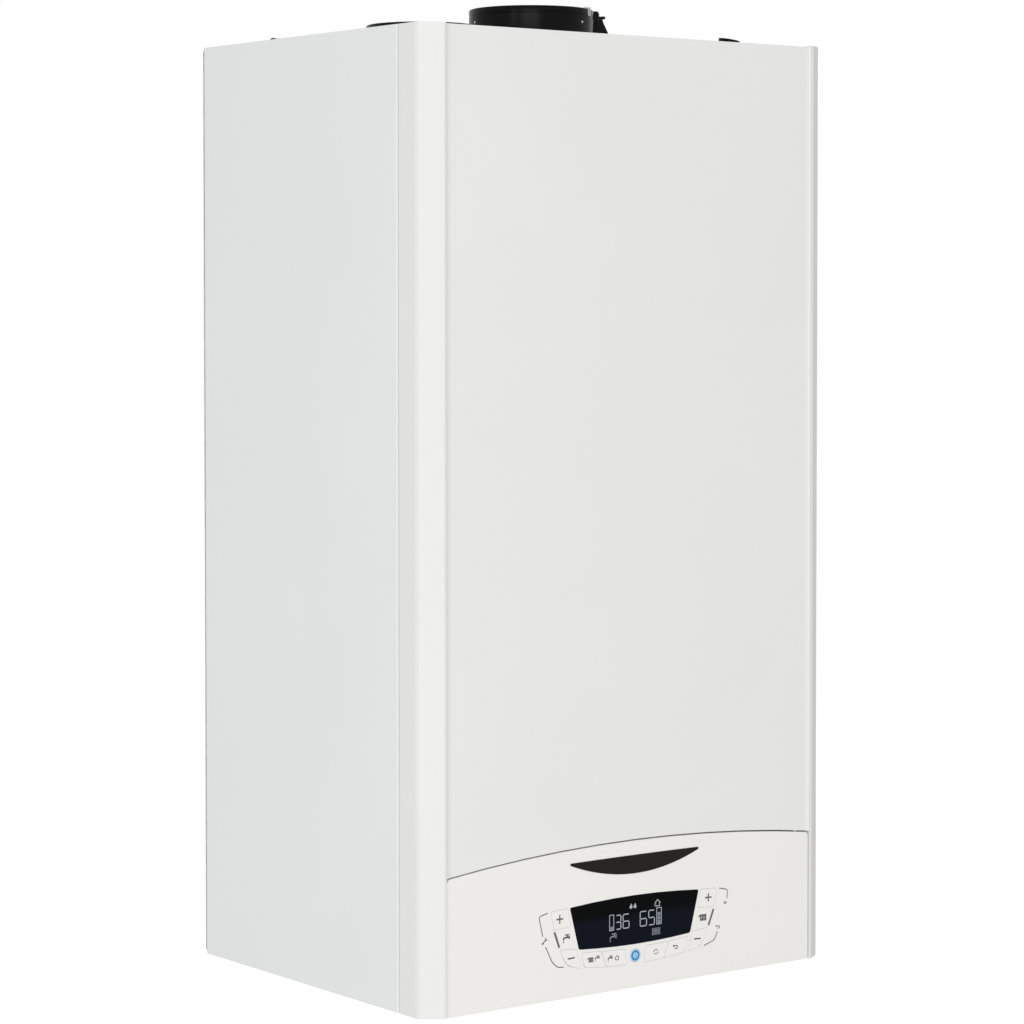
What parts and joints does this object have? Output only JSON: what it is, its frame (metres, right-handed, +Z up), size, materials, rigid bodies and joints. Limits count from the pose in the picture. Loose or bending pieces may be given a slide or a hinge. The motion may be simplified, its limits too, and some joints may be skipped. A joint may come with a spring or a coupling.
{
  "type": "combi boiler",
  "caption": "Wall-hung combi boiler: tall white casing with chamfered corner trims, arched fold-down control panel with display and keys, flue collar on top, pipe tails below.",
  "frame": {"origin": "on the wall plane, on the line of the hanging slots' upper edges, midway between the two sides", "axes": "+Y into the wall, so the front faces -Y; +Z up; +X to the right as seen from the front"},
  "size_m": [0.4, 0.319, 0.81],
  "materials": {
    "side_paint": "satin white powder coat",
    "trim_paint": "satin white powder coat, a shade brighter",
    "panel_paint": "satin white powder coat",
    "fascia_plastic": "warm white moulded plastic with a fine grain",
    "key_plastic": "warm white soft-touch keys with printed grey signs",
    "power_key": "bright blue ring round a pale centre",
    "lens_gloss": "smoked glossy window",
    "black_gloss": "black glossy moulding",
    "dark_plastic": "dark grey moulding",
    "grey_plastic": "grey moulding",
    "circuit_board": "green lacquered board",
    "rubber": "black seal rubber",
    "zinc_sheet": "galvanised sheet steel",
    "cast_aluminium": "as-cast aluminium",
    "stainless": "stainless steel",
    "brass": "machined brass",
    "copper": "drawn copper pipe",
    "vessel_red": "red enamel",
    "red_plastic": "red moulded knob",
    "ceramic": "glazed ceramic"
  },
  "bodies": {
    "boiler_body": {"back_panel": "zinc_sheet", "left_side_panel": "side_paint", "right_side_panel": "side_paint", "top_plate": "side_paint", "bottom_plate": "zinc_sheet", "flue_collar": "black_gloss", "flue_gasket": "rubber", "test_point_cap": "dark_plastic", "intake_cap": "black_gloss", "top_plug": "black_gloss", "chamber_box": "zinc_sheet", "chamber_seal": "rubber", "chamber_cover": "zinc_sheet", "heat_exchanger": "stainless", "burner_door": "cast_aluminium", "burner_tube": "stainless", "ignition_electrode": "ceramic", "flue_duct": "dark_plastic", "gas_valve": "cast_aluminium", "ignition_box": "dark_plastic", "fan_housing": "cast_aluminium", "fan_cover": "cast_aluminium", "fan_motor": "dark_plastic", "gas_mixer": "cast_aluminium", "expansion_vessel": "vessel_red", "vessel_pipe": "copper", "flow_block": "brass", "return_block": "brass", "plate_exchanger": "stainless", "diverter_motor": "dark_plastic", "pump_body": "cast_aluminium", "pump_motor": "dark_plastic", "flow_pipe": "copper", "return_pipe": "copper", "gas_pipe": "copper", "relief_valve": "brass", "condensate_trap": "grey_plastic", "air_vent": "brass"},
    "front_casing": {"front_panel": "panel_paint", "left_corner_trim": "trim_paint", "right_corner_trim": "trim_paint"},
    "control_panel": {"control_fascia": "fascia_plastic", "control_housing": "dark_plastic", "control_board": "circuit_board", "display_module": "grey_plastic", "display_lens": "lens_gloss", "badge_insert": "black_gloss"},
    "key_hot_water_up": {"key_hot_water_up": "key_plastic"},
    "key_hot_water_down": {"key_hot_water_down": "key_plastic"},
    "key_heating_up": {"key_heating_up": "key_plastic"},
    "key_heating_down": {"key_heating_down": "key_plastic"},
    "key_mode": {"key_mode": "key_plastic"},
    "key_comfort": {"key_comfort": "key_plastic"},
    "key_auto": {"key_auto": "key_plastic"},
    "key_back": {"key_back": "key_plastic"},
    "key_power": {"key_power": "power_key"},
    "fan_impeller": {"fan_impeller": "dark_plastic"},
    "pump_rotor": {"pump_rotor": "grey_plastic"},
    "diverter_spindle": {"diverter_spindle": "stainless"},
    "relief_knob": {"relief_knob": "red_plastic"}
  },
  "joints": [
    {"name": "casing_swing", "type": "hinge", "parent": "boiler_body", "child": "front_casing", "pos_m": [0, -0.284, 0.045], "axis": [-1, 0, 0], "range_deg": [0, 25]},
    {"name": "panel_fold", "type": "hinge", "parent": "boiler_body", "child": "control_panel", "pos_m": [0, -0.307, -0.69], "axis": [1, 0, 0], "range_deg": [0, 90]},
    {"name": "key_hot_water_up_press", "type": "slide", "parent": "control_panel", "child": "key_hot_water_up", "axis": [0, 1, 0], "range_m": [0, 0.001], "stiffness_N_per_m": 800},
    {"name": "key_hot_water_down_press", "type": "slide", "parent": "control_panel", "child": "key_hot_water_down", "axis": [0, 1, 0], "range_m": [0, 0.001], "stiffness_N_per_m": 800},
    {"name": "key_heating_up_press", "type": "slide", "parent": "control_panel", "child": "key_heating_up", "axis": [0, 1, 0], "range_m": [0, 0.001], "stiffness_N_per_m": 800},
    {"name": "key_heating_down_press", "type": "slide", "parent": "control_panel", "child": "key_heating_down", "axis": [0, 1, 0], "range_m": [0, 0.001], "stiffness_N_per_m": 800},
    {"name": "key_mode_press", "type": "slide", "parent": "control_panel", "child": "key_mode", "axis": [0, 1, 0], "range_m": [0, 0.001], "stiffness_N_per_m": 800},
    {"name": "key_comfort_press", "type": "slide", "parent": "control_panel", "child": "key_comfort", "axis": [0, 1, 0], "range_m": [0, 0.001], "stiffness_N_per_m": 800},
    {"name": "key_auto_press", "type": "slide", "parent": "control_panel", "child": "key_auto", "axis": [0, 1, 0], "range_m": [0, 0.001], "stiffness_N_per_m": 800},
    {"name": "key_back_press", "type": "slide", "parent": "control_panel", "child": "key_back", "axis": [0, 1, 0], "range_m": [0, 0.001], "stiffness_N_per_m": 800},
    {"name": "key_power_press", "type": "slide", "parent": "control_panel", "child": "key_power", "axis": [0, 1, 0], "range_m": [0, 0.001], "stiffness_N_per_m": 800},
    {"name": "fan_spin", "type": "hinge", "parent": "boiler_body", "child": "fan_impeller", "pos_m": [0.05, -0.2, -0.34952], "axis": [0, -1, 0], "continuous": true},
    {"name": "pump_spin", "type": "hinge", "parent": "boiler_body", "child": "pump_rotor", "pos_m": [0.118, -0.17, -0.55], "axis": [0, -1, 0], "continuous": true},
    {"name": "diverter_slide", "type": "slide", "parent": "boiler_body", "child": "diverter_spindle", "axis": [0, -1, 0], "range_m": [0, 0.008]},
    {"name": "relief_turn", "type": "hinge", "parent": "boiler_body", "child": "relief_knob", "pos_m": [0.172, -0.18, -0.65], "axis": [0, -1, 0], "range_deg": [0, 90], "stiffness_Nm_per_rad": 0.05}
  ]
}
